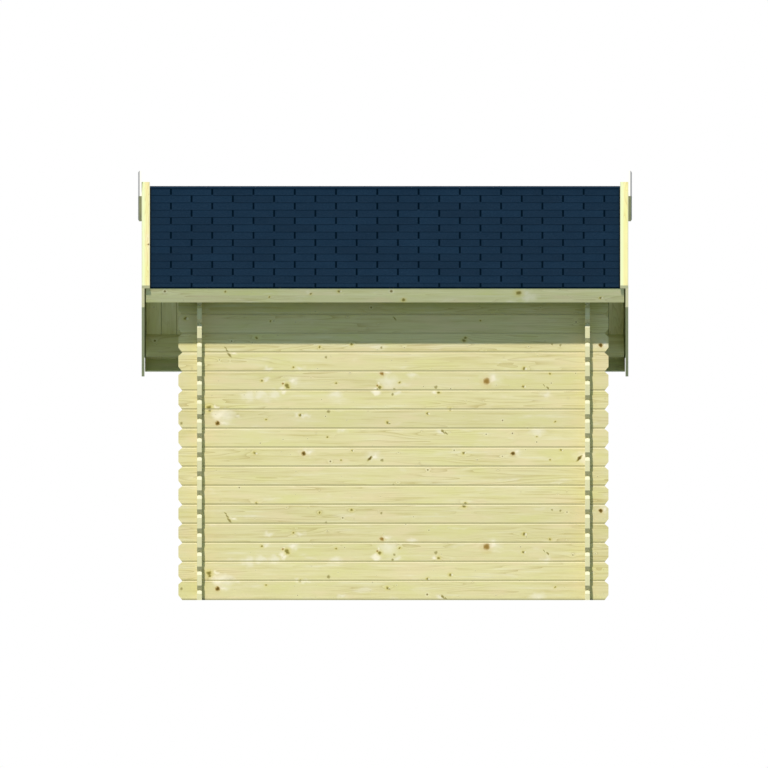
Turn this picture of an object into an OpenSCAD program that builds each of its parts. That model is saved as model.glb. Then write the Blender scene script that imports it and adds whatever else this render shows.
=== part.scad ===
// Garden house of interlocking logs under an uneven saddle roof.
// X runs along the ridge from the door gable (-) to the back gable (+), and Y from the
// tall side wall (-) to the low side wall (+). Z is up from the ground. Units are mm.

/* [Log walls] */
// Thickness of a wall log
log_t = 28; // [26:1:32]
// Height that one course of logs covers
log_h = 114; // [112:1:116]
// Width over the outer faces of the two side walls
wall_width = 2622; // [2600:1:2660]
// Length over the outer faces of the front and back walls
wall_length = 2351; // [2200:1:2500]
// How far a log runs on past a corner
log_end = 112; // [90:1:125]
// Length of the slanted corner on a free log end
end_cut_l = 23; // [10:1:30]
// Height of the slanted corner on top of a free log end
top_cut_h = 20; // [12:1:30]
// Height of the slanted corner under a free log end
under_cut_h = 30; // [20:1:35]
// Chamfer along the upper edges of a log
edge_cut = 3.5; // [3:0.5:6]
// Height of the flat bevel along the lower edges of a log, as deep as the chamfer
bevel_h = 9; // [5:0.5:12]
// Width of the tongue on top of a log
tongue_w = 9; // [7:0.5:10]
// Height of the tongue on top of a log
tongue_h = 8; // [5:0.5:9]
// Height of the log under each eave, on the inner face
top_log_h = 136; // [132:1:140]

/* [Roof] */
// Slope of both roof sides in degrees
roof_pitch = 26.9; // [26.6:0.1:27.2]
// Height of the roof boards at the ridge
ridge_z = 2471; // [2465:1:2480]
// Place of the ridge across the house, nearer to the tall side wall
ridge_y = -409; // [-420:1:-395]
// Roof overhang past the side walls
eave_out = 290; // [250:1:320]
// Roof overhang past the front wall
front_out = 306; // [240:1:400]
// Roof overhang past the back wall
back_out = 205; // [160:1:260]
// Thickness of the roof boards
deck_t = 19; // [16:1:21]
// Thickness of the bitumen shingles at the lower edge of a row
shingle_t = 3.5; // [3:0.5:5]
// Height of a row of shingles, measured down the slope
shingle_row = 96.7; // [90:0.1:110]
// Height of the lowest row of shingles
eave_row = 63.5; // [50:0.5:90]
// How far the ridge strip reaches down each side
ridge_strip_w = 26; // [20:1:60]
// Width of the purlins
purlin_w = 45; // [40:1:60]
// Height of the purlins
purlin_h = 100; // [95:1:110]
// Place of the middle purlin across the house
middle_purlin_y = 485; // [480:1:500]

/* [Roof trim] */
// Thickness of the fascia and barge boards
trim_t = 17; // [15:1:20]
// Depth of the fascia boards
fascia_h = 94; // [80:1:110]
// Gap between the ends of the low fascia and the barge boards
low_fascia_gap = 3; // [2:1:5]
// Depth of the barge boards
barge_h = 126; // [110:1:140]
// Gap between the roof boards and the barge boards
barge_gap = 9; // [5:1:12]
// How far barge boards and caps reach past the fascia
barge_out = 18; // [10:1:24]
// How far the barge boards stand above the roof boards
barge_rise = 9; // [8:1:12]
// Width of the cap boards over the roof edge
cap_w = 49; // [45:1:70]
// Thickness of the cap boards
cap_t = 20; // [15:1:22]
// Side length of the square gable ornament
ornament_w = 213.8; // [190:0.1:230]
// Thickness of the gable ornament
ornament_t = 21; // [16:1:24]
// Chamfer round the face of the gable ornament
ornament_cut = 7; // [4:1:9]
// Height of the middle of the gable ornament
ornament_z = 2419; // [2405:1:2425]

/* [Door] */
// Width of the doorway between the wall logs
door_w = 1300; // [1200:10:1400]
// Courses of whole logs beside the door
door_courses = 16; // [16:1:16]
// Depth of the door frame through the wall
frame_depth = 70; // [60:1:80]
// Width of a frame member
frame_w = 45; // [40:1:55]
// Depth of the groove that grips the wall logs
frame_grip = 12; // [8:1:16]
// Thickness of the threshold
sill_h = 30; // [20:1:40]
// Thickness of a door leaf
leaf_t = 40; // [36:1:44]
// Width of the stiles and the top rail of a leaf
stile_w = 85; // [75:1:95]
// Height of the bottom rail of a leaf
bottom_rail_h = 130; // [110:1:150]
// Height of the middle rail above the threshold
middle_rail_z = 700; // [600:10:800]
// Thickness of the boards in the lower part of a leaf
panel_t = 18; // [14:1:22]
// Boards in the lower part of a leaf
panel_boards = 5; // [3:1:7]
// Width of a glazing bar
bar_w = 24; // [20:1:28]
// Thickness of the door glass
glass_t = 4; // [3:1:5]
// Width of the casing boards round the door
casing_w = 70; // [60:1:90]

/* [Hidden] */

TALL = -1;
LOW = 1;
FRONT = -1;
BACK = 1;

pine = "#DDD19B";
pine_trim = "#B4BA92";
bitumen = "#1A2C3E";
steel = "#9A9CA0";
clear_glass = "#B9CBD0";

// Clearances
fit = 0.3;
slack = 0.5;
through = 1;

// How far the lower edge of a row of shingles stands above the head of the next row
shingle_step = 2;

// Plan of the walls
half_width = wall_width / 2;
roof_half = (front_out + wall_length + back_out) / 2;
front_x = log_t / 2 + front_out - roof_half;
back_x = front_x + wall_length - log_t;
groove_w = tongue_w + 2 * slack;
groove_h = tongue_h + 2 * slack;

// Courses: side logs start on the ground, gable logs half a course up
quarter = log_h / 4;
half = log_h / 2;
eave_y = half_width + eave_out;
last_gable_course = floor((under_z(ridge_y) - half - purlin_h / 2) / log_h);

// Heights of the top of the roof boards, and of their underside, at a place across the house
function roof_z(y) = ridge_z - abs(y - ridge_y) * tan(roof_pitch);
function under_z(y) = roof_z(y) - deck_t / cos(roof_pitch);

// Side wall: its centre line, its inner face and the underside of its top log
function side_y(side) = side * (half_width - log_t / 2);
function inner_y(side) = side * (half_width - log_t);
function top_log_z(side) = under_z(inner_y(side)) - top_log_h;

// Number of the last gable log that crosses a side wall, counting the base log as 0
function last_crossing(side) = floor((under_z(side * half_width) - quarter) / log_h);

// Length of a roof side down the slope, to the face of the fascia
function slope_run(side) = (eave_y - side * ridge_y) / cos(roof_pitch);

// A point on a roof side, [Y, Z], by its distance down the slope and out from the roof boards
function slope_point(side, down, out) = [
    ridge_y + side * (down * cos(roof_pitch) + out * sin(roof_pitch)),
    ridge_z - down * sin(roof_pitch) + out * cos(roof_pitch)
];

// The point on the ridge plane at a distance out from the roof boards
function ridge_point(out) = [ridge_y, ridge_z + out / cos(roof_pitch)];

// ---- Helpers ----

// Extrudes a [Y, Z] outline along X
module along_x(x0, x1) {
    translate([x0, 0, 0])
        rotate([90, 0, 90])
            linear_extrude(x1 - x0)
                children();
}

// Extrudes an [X, Z] outline along Y
module along_y(y0, y1) {
    translate([0, y1, 0])
        rotate([90, 0, 0])
            linear_extrude(y1 - y0)
                children();
}

// A box between two corners
module block(low, high) {
    translate(low)
        cube(high - low);
}

// ---- Logs ----

// Cross-section of a log: chamfered above, bevelled below, with a tongue on top and, off the
// ground, a groove below
function log_section(h, grooved) = concat(
    grooved ? [
        [-groove_w / 2, 0], [-groove_w / 2, groove_h],
        [groove_w / 2, groove_h], [groove_w / 2, 0]
    ] : [],
    [
        [log_t / 2 - edge_cut, 0], [log_t / 2, bevel_h],
        [log_t / 2, h - edge_cut], [log_t / 2 - edge_cut, h],
        [tongue_w / 2, h], [tongue_w / 2, h + tongue_h],
        [-tongue_w / 2, h + tongue_h], [-tongue_w / 2, h],
        [edge_cut - log_t / 2, h], [-log_t / 2, h - edge_cut],
        [-log_t / 2, bevel_h], [edge_cut - log_t / 2, 0]
    ]
);

// Cross-section of the upper part of a log ripped in two, flat underneath
function ripped_section(h) = [
    [-log_t / 2, 0], [log_t / 2, 0],
    [log_t / 2, h - edge_cut], [log_t / 2 - edge_cut, h],
    [tongue_w / 2, h], [tongue_w / 2, h + tongue_h],
    [-tongue_w / 2, h + tongue_h], [-tongue_w / 2, h],
    [edge_cut - log_t / 2, h], [-log_t / 2, h - edge_cut]
];

// Outline of a log from the side, with slanted corners at its free ends
function log_outline(x0, x1, h, cut0, cut1, under_h, top_h) = [
    [x0, under_h], [x0 + cut0, 0],
    [x1 - cut1, 0], [x1, under_h],
    [x1, h - top_h], [x1 - cut1, h],
    [x1 - cut1, h + tongue_h], [x0 + cut0, h + tongue_h],
    [x0 + cut0, h], [x0, h - top_h]
];

// A log along X from x0 to x1 and from z0 to z1, with free or square ends
module log_x(x0, x1, z0, z1, free0 = true, free1 = true, ripped = false) {
    h = z1 - z0 - fit;
    cut0 = free0 ? end_cut_l : 0;
    cut1 = free1 ? end_cut_l : 0;
    under_h = ripped ? 0 : min(under_cut_h, h / 3);
    translate([0, 0, z0])
        intersection() {
            along_x(x0 - through, x1 + through)
                polygon(ripped ? ripped_section(h) : log_section(h, z0 > 0));
            along_y(-log_t, log_t)
                polygon(log_outline(x0, x1, h, cut0, cut1, under_h, min(top_cut_h, h / 3)));
        }
}

// Room in a side log for the neck of a gable log
module gable_neck_room(z0, z1) {
    for (x = [front_x, back_x])
        block(
            [x - log_t / 2 - fit, -log_t, z0],
            [x + log_t / 2 + fit, log_t, z1]
        );
}

// Room in a gable log for the neck of a side log
module side_neck_room(side, z0, z1) {
    block(
        [-log_t, side_y(side) - log_t / 2 - fit, z0],
        [log_t, side_y(side) + log_t / 2 + fit, z1]
    );
}

// One log of a side wall, in place, notched over the gable logs above and below it
module side_log(side, course, z1) {
    z0 = course * log_h;
    translate([0, side_y(side), 0])
        difference() {
            log_x(front_x - log_t / 2 - log_end, back_x + log_t / 2 + log_end, z0, z1);
            gable_neck_room(z0 - quarter, z0 + quarter);
            gable_neck_room(z0 + log_h - quarter, z0 + log_h + quarter);
        }
}

// Side wall: whole logs, then one ripped down to meet the top log
module side_wall(side) {
    whole = floor(top_log_z(side) / log_h);
    color(pine) {
        for (course = [0 : whole - 1])
            side_log(side, course, (course + 1) * log_h);
        side_log(side, whole, top_log_z(side) + fit);
    }
}

// Top log of a side wall: planed to the roof slope and carried through both overhangs
module side_top_log(side) {
    z0 = top_log_z(side);
    neck = last_crossing(side);
    neck_top = side == TALL ? ridge_z : neck * log_h + quarter;
    color(pine)
        translate([0, side_y(side), 0])
            difference() {
                along_x(-roof_half, roof_half)
                    polygon([
                        [-groove_w / 2, z0], [-groove_w / 2, z0 + groove_h],
                        [groove_w / 2, z0 + groove_h], [groove_w / 2, z0],
                        [log_t / 2 - edge_cut, z0], [log_t / 2, z0 + bevel_h],
                        [log_t / 2, under_z(side_y(side) + log_t / 2)],
                        [-log_t / 2, under_z(side_y(side) - log_t / 2)],
                        [-log_t / 2, z0 + bevel_h], [edge_cut - log_t / 2, z0]
                    ]);
                gable_neck_room(neck * log_h - quarter, neck_top);
            }
}

// Where a gable log ends: past the corner, or inside the wall where the roof is too low
function gable_log_end(side, course) =
    course < last_crossing(side) ? side * (half_width + log_end) : inner_y(side) - side * fit;

// One log of a gable wall at x, from y0 to y1, notched over the side logs that it crosses
module gable_log(x, course, y0, y1) {
    z0 = half + course * log_h;
    z1 = z0 + log_h;
    translate([x, 0, 0])
        difference() {
            rotate([0, 0, 90])
                log_x(y0, y1, z0, z1, y0 < -half_width, y1 > half_width);
            for (side = [TALL, LOW])
                if (course < last_crossing(side)) {
                    side_neck_room(side, z0 - through, z0 + quarter);
                    if (side == LOW || course < last_crossing(side) - 1)
                        side_neck_room(side, z1 - quarter, z1 + log_h);
                }
        }
}

// The half log that starts a gable wall on the ground, with its shoulders at z1
module base_log(x, z1) {
    translate([x, 0, 0])
        difference() {
            rotate([0, 0, 90])
                log_x(-half_width - log_end, half_width + log_end, 0, z1 + fit, ripped = true);
            for (side = [TALL, LOW])
                side_neck_room(side, quarter, log_h);
        }
}

// Everything below the roof boards
module under_roof() {
    y0 = -half_width - log_end - through;
    y1 = half_width + log_end + through;
    along_x(-roof_half, roof_half)
        polygon([
            [y0, -through], [y1, -through],
            [y1, under_z(y1)], [ridge_y, under_z(ridge_y)], [y0, under_z(y0)]
        ]);
}

// Whole gable logs from one course to another, cut to the roof and pocketed for the purlins
module gable_courses(x, first, last) {
    difference() {
        intersection() {
            union()
                for (course = [first : last])
                    gable_log(x, course, gable_log_end(TALL, course), gable_log_end(LOW, course));
            under_roof();
        }
        for (y = [ridge_y, middle_purlin_y])
            block(
                [x - log_t, y - purlin_w / 2 - fit, under_z(y) - purlin_h],
                [x + log_t, y + purlin_w / 2 + fit, ridge_z]
            );
    }
}

// ---- Walls ----

module tall_side_wall() {
    side_wall(TALL);
}

module tall_side_top_log() {
    side_top_log(TALL);
}

module low_side_wall() {
    side_wall(LOW);
}

module low_side_top_log() {
    side_top_log(LOW);
}

// The tongue of the base log is planed off in the doorway
module front_base_log() {
    color(pine)
        difference() {
            base_log(front_x, half);
            block(
                [front_x - log_t, door_y0 - frame_grip - slack, half],
                [front_x + log_t, door_y1 + frame_grip + slack, log_h]
            );
        }
}

module front_wall_tall_side() {
    color(pine)
        intersection() {
            union()
                for (course = [0 : door_courses - 1])
                    gable_log(front_x, course, gable_log_end(TALL, course), door_y0);
            under_roof();
        }
}

module front_wall_low_side() {
    color(pine)
        intersection() {
            union()
                for (course = [0 : door_courses - 1])
                    gable_log(front_x, course, door_y1, gable_log_end(LOW, course));
            under_roof();
        }
}

module front_gable() {
    color(pine)
        gable_courses(front_x, door_courses, last_gable_course);
}

module back_wall() {
    color(pine) {
        base_log(back_x, half - fit);
        intersection() {
            union()
                for (course = [0 : door_courses - 1])
                    gable_log(back_x, course, gable_log_end(TALL, course), gable_log_end(LOW, course));
            under_roof();
        }
    }
}

module back_gable() {
    color(pine)
        gable_courses(back_x, door_courses, last_gable_course);
}

// ---- Roof ----

// A purlin at y, with its top planed to the roof
module purlin(y) {
    y0 = y - purlin_w / 2;
    y1 = y + purlin_w / 2;
    z0 = under_z(y) - purlin_h;
    color(pine)
        along_x(-roof_half - barge_gap, roof_half + barge_gap)
            polygon([[y0, z0], [y1, z0], [y1, under_z(y1)], [y, under_z(y)], [y0, under_z(y0)]]);
}

module ridge_purlin() {
    purlin(ridge_y);
}

module middle_purlin() {
    purlin(middle_purlin_y);
}

// A layer of one roof side from the ridge down the slope, between two heights over the boards
module slope_layer(side, x0, x1, out0, out1, down) {
    along_x(x0, x1)
        polygon([
            ridge_point(out0), slope_point(side, down, out0),
            slope_point(side, down, out1), ridge_point(out1)
        ]);
}

module roof_deck(side) {
    color(pine)
        slope_layer(side, -roof_half, roof_half, -deck_t, 0, slope_run(side) - trim_t);
}

// Distance down the slope to the lower edge of a row of shingles, counted up from the eave
function row_edge(side, row) =
    slope_run(side) + slack - (row > 0 ? eave_row + (row - 1) * shingle_row : 0);

// A sheet of shingles: each row is thin at its head and stands proud at its lower edge
module shingles(side) {
    rows = floor((slope_run(side) - eave_row - 2 * ridge_strip_w) / shingle_row);
    color(bitumen)
        along_x(-roof_half, roof_half)
            polygon(concat(
                [ridge_point(0), slope_point(side, row_edge(side, 0), 0)],
                [
                    for (row = [0 : rows])
                        each [
                            slope_point(side, row_edge(side, row), shingle_t),
                            slope_point(side, row_edge(side, row + 1), shingle_t - shingle_step)
                        ]
                ],
                [
                    slope_point(side, row_edge(side, rows + 1), shingle_t),
                    ridge_point(shingle_t)
                ]
            ));
}

module ridge_strip() {
    outer = 2 * shingle_t;
    color(bitumen)
        along_x(cap_w - barge_x, barge_x - cap_w)
            polygon([
                slope_point(TALL, ridge_strip_w, shingle_t), ridge_point(shingle_t),
                slope_point(LOW, ridge_strip_w, shingle_t), slope_point(LOW, ridge_strip_w, outer),
                ridge_point(outer), slope_point(TALL, ridge_strip_w, outer)
            ]);
}

module fascia(side) {
    run = slope_run(side);
    x1 = roof_half + (side == LOW ? barge_gap - low_fascia_gap : 0);
    color(pine_trim)
        along_x(-x1, x1)
            polygon([
                slope_point(side, run - trim_t, -fascia_h), slope_point(side, run, -fascia_h),
                slope_point(side, run, 0), slope_point(side, run - trim_t, 0)
            ]);
}

// ---- Roof trim at the gables ----

// Outer faces of the barge boards
barge_x = roof_half + barge_gap + trim_t;

module barge_board(end, side) {
    x0 = end == FRONT ? -barge_x : barge_x - trim_t;
    down = slope_run(side) + barge_out;
    color(pine_trim)
        slope_layer(side, x0, x0 + trim_t, barge_rise - barge_h, barge_rise, down);
}

module barge_cap(end, side) {
    x0 = end == FRONT ? -barge_x : barge_x - cap_w;
    down = slope_run(side) + barge_out;
    color(pine)
        slope_layer(side, x0, x0 + cap_w, barge_rise, barge_rise + cap_t, down);
}

// A square set on its corner over the joint of the barge boards, chamfered round its face
module ornament(end) {
    side_profile = [
        [-ornament_w / 2, 0], [ornament_w / 2, 0],
        [ornament_w / 2, ornament_t - ornament_cut], [ornament_w / 2 - ornament_cut, ornament_t],
        [ornament_cut - ornament_w / 2, ornament_t], [-ornament_w / 2, ornament_t - ornament_cut]
    ];
    color(pine)
        translate([end * barge_x, ridge_y, ornament_z])
            rotate([0, end * 90, 0])
                rotate([0, 0, 45])
                    intersection() {
                        along_y(-ornament_w, ornament_w)
                            polygon(side_profile);
                        along_x(-ornament_w, ornament_w)
                            polygon(side_profile);
                    }
}

// ---- Door ----

door_y0 = ridge_y - door_w / 2;
door_y1 = ridge_y + door_w / 2;
door_top = half + door_courses * log_h;
leaf_gap = 3;

// Frame: its faces, its grip on the logs, its stop behind the leaves and its clear opening
frame_x0 = front_x - frame_depth / 2;
frame_x1 = front_x + frame_depth / 2;
grip_x0 = front_x - log_t / 2 - fit;
grip_x1 = front_x + log_t / 2 + fit;
stop_w = 12;
stop_x = frame_x0 + leaf_t + leaf_gap;
clear_y0 = door_y0 - frame_grip + frame_w;
clear_y1 = door_y1 + frame_grip - frame_w;
clear_z0 = half + sill_h;
clear_z1 = door_top + frame_grip - frame_w;
sill_fall = 6;

// Leaves: outline, boarded lower part and glass
leaf_w = (clear_y1 - clear_y0 - 3 * leaf_gap) / 2;
leaf_x = frame_x0 + leaf_t / 2;
leaf_z0 = clear_z0 + leaf_gap;
leaf_z1 = clear_z1 - leaf_gap;
panel_z0 = leaf_z0 + bottom_rail_h;
panel_z1 = leaf_z0 + middle_rail_z;
panel_groove = 5;
glass_z0 = panel_z1 + stile_w;
glass_z1 = leaf_z1 - stile_w;
bead_w = 12;
bar_inset = 5;

// Boards on the face of the frame
casing_t = 16;
casing_cut = 4;
casing_reveal = 10;

// Cross-section of a frame member, [X, distance out from the opening], with its stop and grip
frame_section = [
    [frame_x0, 0], [stop_x, 0], [stop_x, -stop_w], [frame_x1, -stop_w],
    [frame_x1, frame_w], [grip_x1, frame_w], [grip_x1, frame_w - frame_grip],
    [grip_x0, frame_w - frame_grip], [grip_x0, frame_w], [frame_x0, frame_w]
];

// Lowest Y of the open part of a leaf: the left leaf hangs on the low side, seen from outside
function leaf_y(side) = side == TALL ? clear_y0 + leaf_gap : clear_y1 - leaf_gap - leaf_w;

// Edges of the boarded and glazed parts of a leaf
function open_y0(side) = leaf_y(side) + stile_w;
function open_y1(side) = leaf_y(side) + leaf_w - stile_w;

// Outline of an opening through a leaf, narrowed by a bead on both sides of the glass
function beaded_outline(low, high) = [
    [frame_x0 - through, low], [leaf_x - bead_w, low],
    [leaf_x - glass_t / 2, low + bead_w], [leaf_x + glass_t / 2, low + bead_w],
    [leaf_x + bead_w, low], [frame_x0 + leaf_t + through, low],
    [frame_x0 + leaf_t + through, high], [leaf_x + bead_w, high],
    [leaf_x + glass_t / 2, high - bead_w], [leaf_x - glass_t / 2, high - bead_w],
    [leaf_x - bead_w, high], [frame_x0 - through, high]
];

// Cross-section of a glazing bar round the middle of the leaf, thin at its two faces
function bar_section(middle) = [
    for (corner = [
        [-leaf_t / 2 + bar_inset, -bar_w / 4], [-glass_t / 2, -bar_w / 2],
        [glass_t / 2, -bar_w / 2], [leaf_t / 2 - bar_inset, -bar_w / 4],
        [leaf_t / 2 - bar_inset, bar_w / 4], [glass_t / 2, bar_w / 2],
        [-glass_t / 2, bar_w / 2], [-leaf_t / 2 + bar_inset, bar_w / 4]
    ])
        [leaf_x + corner.x, middle + corner.y]
];

// Cross-section of a board on the face of the frame, with its outer edges chamfered
function casing_section(low, high) = [
    [frame_x0, low], [frame_x0 - casing_t + casing_cut, low],
    [frame_x0 - casing_t, low + casing_cut], [frame_x0 - casing_t, high - casing_cut],
    [frame_x0 - casing_t + casing_cut, high], [frame_x0, high]
];

// Extrudes an [X, Y] outline up from one height to another
module upright(z0, z1) {
    translate([0, 0, z0])
        linear_extrude(z1 - z0)
            children();
}

// Room in the head and the threshold for the stops of the two jambs
module stop_rooms() {
    for (y = [clear_y0 - frame_w - through, clear_y1 - stop_w])
        block(
            [stop_x, y, 0],
            [frame_x1 + through, y + frame_w + stop_w + through, clear_z1]
        );
}

module door_jamb(side) {
    clear_y = side == TALL ? clear_y0 : clear_y1;
    color(pine)
        upright(half, clear_z1)
            polygon([for (p = frame_section) [p.x, clear_y + side * p.y]]);
}

module door_head() {
    color(pine)
        difference() {
            along_y(door_y0 - frame_grip, door_y1 + frame_grip)
                polygon([for (p = frame_section) [p.x, clear_z1 + p.y]]);
            stop_rooms();
            for (y = [door_y0 - frame_grip - through, door_y1])
                block([grip_x0, y, 0], [grip_x1, y + frame_grip + through, door_top + log_h]);
        }
}

// The threshold falls outwards and has a stop behind the leaves
module door_sill() {
    color(pine)
        difference() {
            along_y(clear_y0, clear_y1)
                polygon([
                    [frame_x0, half], [frame_x1, half],
                    [frame_x1, clear_z0 + stop_w], [stop_x, clear_z0 + stop_w],
                    [stop_x, clear_z0], [frame_x0, clear_z0 - sill_fall]
                ]);
            stop_rooms();
        }
}

// The boards in the lower part of a leaf, with V grooves between them on both faces
module leaf_boards(side) {
    y0 = open_y0(side) - through;
    y1 = open_y1(side) + through;
    board_w = (y1 - y0) / panel_boards;
    difference() {
        block(
            [leaf_x - panel_t / 2, y0, panel_z0 - through],
            [leaf_x + panel_t / 2, y1, panel_z1 + through]
        );
        for (board = [1 : panel_boards - 1], x = [leaf_x - panel_t / 2, leaf_x + panel_t / 2])
            translate([x, y0 + board * board_w, 0])
                upright(panel_z0, panel_z1)
                    rotate(45)
                        square(panel_groove, center = true);
    }
}

// The cross of glazing bars in the upper part of a leaf
module leaf_bars(side) {
    y0 = open_y0(side);
    y1 = open_y1(side);
    upright(glass_z0 - through, glass_z1 + through)
        polygon(bar_section((y0 + y1) / 2));
    along_y(y0 - through, y1 + through)
        polygon(bar_section((glass_z0 + glass_z1) / 2));
}

// A leaf: stiles and rails round boards below and beaded glass above
module door_leaf(side) {
    y0 = leaf_y(side);
    color(pine)
        difference() {
            union() {
                difference() {
                    block([frame_x0, y0, leaf_z0], [frame_x0 + leaf_t, y0 + leaf_w, leaf_z1]);
                    block(
                        [frame_x0 - through, open_y0(side), panel_z0],
                        [frame_x0 + leaf_t + through, open_y1(side), panel_z1]
                    );
                    intersection() {
                        upright(glass_z0, glass_z1)
                            polygon(beaded_outline(open_y0(side), open_y1(side)));
                        along_y(open_y0(side), open_y1(side))
                            polygon(beaded_outline(glass_z0, glass_z1));
                    }
                }
                leaf_boards(side);
                leaf_bars(side);
            }
            glass_pane(side);
        }
}

// The glass of a leaf, held by its edges in the beads
module glass_pane(side) {
    block(
        [leaf_x - glass_t / 2, open_y0(side), glass_z0],
        [leaf_x + glass_t / 2, open_y1(side), glass_z1]
    );
}

module door_glass(side) {
    color(clear_glass)
        glass_pane(side);
}

// The strip over the joint of the two leaves
module door_cover_strip() {
    color(pine)
        upright(leaf_z0, leaf_z1)
            polygon(casing_section(ridge_y - bar_w, ridge_y + bar_w));
}

// Two upright boards and a head board round the outside of the doorway
module door_casing() {
    y0 = clear_y0 - casing_reveal;
    y1 = clear_y1 + casing_reveal;
    z1 = clear_z1 + casing_reveal;
    color(pine) {
        upright(half, z1)
            polygon(casing_section(y0 - casing_w, y0));
        upright(half, z1)
            polygon(casing_section(y1, y1 + casing_w));
        along_y(y0 - casing_w, y1 + casing_w)
            polygon(casing_section(z1 + fit, z1 + casing_w));
    }
}

hinge_h = 90;
hinge_d = 14;
hinge_round = 2;
hinge_ring = 1;
stem_d = 6;

// A hinge at the foot of its pin: two turned knuckles with a ring between them
module hinge_knuckles() {
    r = hinge_d / 2;
    rotate_extrude($fn = 48)
        polygon([
            [0, 0], [r - hinge_round, 0], [r, hinge_round],
            [r, hinge_h / 2 - hinge_ring], [r + hinge_ring, hinge_h / 2 - hinge_ring],
            [r + hinge_ring, hinge_h / 2 + hinge_ring], [r, hinge_h / 2 + hinge_ring],
            [r, hinge_h - hinge_round], [r - hinge_round, hinge_h], [0, hinge_h]
        ]);
}

// Three hinges a leaf: the upper knuckle's stem goes into the leaf, the lower one's into the frame
module door_hinges() {
    out = hinge_d / 2 + hinge_ring;
    aside = (leaf_gap + stem_d) / 2;
    spacing = (leaf_z1 - leaf_z0 - 4 * hinge_h) / 2;
    color(steel)
        for (side = [TALL, LOW], i = [0 : 2])
            translate([
                frame_x0 - out,
                side == TALL ? clear_y0 + leaf_gap / 2 : clear_y1 - leaf_gap / 2,
                leaf_z0 + 1.5 * hinge_h + i * spacing
            ]) {
                hinge_knuckles();
                for (stem = [[side * aside, hinge_h / 4], [-side * aside, hinge_h * 3 / 4]])
                    translate([0, stem.x, stem.y])
                        rotate([0, 90, 0])
                            cylinder(h = out, d = stem_d, $fn = 48);
            }
}

handle_z = 1000;
plate_w = 36;
plate_h = 200;
plate_t = 4;
lever_d = 18;
lever_l = 115;
lever_out = 45;
lock_z = -72;
lock_d = 17;
lock_w = 10;
lock_h = 33;
lock_out = 3;

// A lever, its plate and its lock, on a leaf's face, standing out along -X
module lever_handle() {
    rotate([0, -90, 0]) {
        linear_extrude(plate_t) {
            square([plate_h - plate_w, plate_w], center = true);
            for (end = [-1, 1])
                translate([end * (plate_h - plate_w) / 2, 0])
                    circle(d = plate_w, $fn = 48);
        }
        linear_extrude(plate_t + lock_out)
            translate([lock_z, 0]) {
                circle(d = lock_d, $fn = 48);
                translate([lock_d / 2 - lock_h, -lock_w / 2])
                    square([lock_h - lock_d / 2, lock_w]);
            }
        cylinder(h = lever_out, d = lever_d, $fn = 48);
    }
    for (y = [0, lever_l])
        translate([-lever_out, y, 0])
            sphere(d = lever_d, $fn = 48);
    translate([-lever_out, 0, 0])
        rotate([-90, 0, 0])
            cylinder(h = lever_l, d = lever_d, $fn = 48);
}

// Handles outside and inside, on the leaf that opens first
module door_handle() {
    color(steel)
        translate([leaf_x, ridge_y + bar_w + stile_w / 2, handle_z]) {
            translate([-leaf_t / 2, 0, 0])
                lever_handle();
            mirror([1, 0, 0])
                translate([-leaf_t / 2, 0, 0])
                    lever_handle();
        }
}

tall_side_wall();
tall_side_top_log();
low_side_wall();
low_side_top_log();
front_base_log();
front_wall_tall_side();
front_wall_low_side();
front_gable();
back_wall();
back_gable();
ridge_purlin();
middle_purlin();
roof_deck(TALL);  // roof_deck_tall_side
roof_deck(LOW);  // roof_deck_low_side
shingles(TALL);  // shingles_tall_side
shingles(LOW);  // shingles_low_side
ridge_strip();
fascia(TALL);  // fascia_tall_side
fascia(LOW);  // fascia_low_side
barge_board(FRONT, TALL);  // barge_board_front_tall
barge_board(FRONT, LOW);  // barge_board_front_low
barge_board(BACK, TALL);  // barge_board_back_tall
barge_board(BACK, LOW);  // barge_board_back_low
barge_cap(FRONT, TALL);  // barge_cap_front_tall
barge_cap(FRONT, LOW);  // barge_cap_front_low
barge_cap(BACK, TALL);  // barge_cap_back_tall
barge_cap(BACK, LOW);  // barge_cap_back_low
ornament(FRONT);  // ornament_front
ornament(BACK);  // ornament_back
door_jamb(TALL);  // door_jamb_tall_side
door_jamb(LOW);  // door_jamb_low_side
door_head();
door_sill();
door_leaf(LOW);  // door_leaf_left
door_leaf(TALL);  // door_leaf_right
door_glass(LOW);  // door_glass_left
door_glass(TALL);  // door_glass_right
door_cover_strip();
door_casing();
door_hinges();
door_handle();
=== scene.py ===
"""Looks of a garden house of interlocking logs: wood, shingles, roof boards, door hardware and light."""

import math
import random

import bmesh
import bpy
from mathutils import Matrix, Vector


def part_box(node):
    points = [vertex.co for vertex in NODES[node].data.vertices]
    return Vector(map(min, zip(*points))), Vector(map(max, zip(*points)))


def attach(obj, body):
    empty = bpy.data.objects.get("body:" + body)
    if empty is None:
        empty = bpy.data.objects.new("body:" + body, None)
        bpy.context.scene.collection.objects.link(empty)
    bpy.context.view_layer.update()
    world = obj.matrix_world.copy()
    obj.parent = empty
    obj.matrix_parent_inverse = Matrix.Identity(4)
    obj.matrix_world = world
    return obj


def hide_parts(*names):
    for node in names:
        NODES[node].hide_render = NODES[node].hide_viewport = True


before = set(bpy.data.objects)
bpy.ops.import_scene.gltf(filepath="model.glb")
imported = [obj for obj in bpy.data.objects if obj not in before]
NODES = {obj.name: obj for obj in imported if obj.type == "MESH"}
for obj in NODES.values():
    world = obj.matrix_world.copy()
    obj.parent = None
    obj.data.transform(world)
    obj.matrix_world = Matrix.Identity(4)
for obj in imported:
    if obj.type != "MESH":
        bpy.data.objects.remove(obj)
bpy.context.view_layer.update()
random.seed(7)

# ---- Places and sizes, in metres, from the frame ----

TALL, LOW = -1, 1
ROOF_SIDES = {"tall_side": TALL, "low_side": LOW}
LOG_H = 0.114

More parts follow.
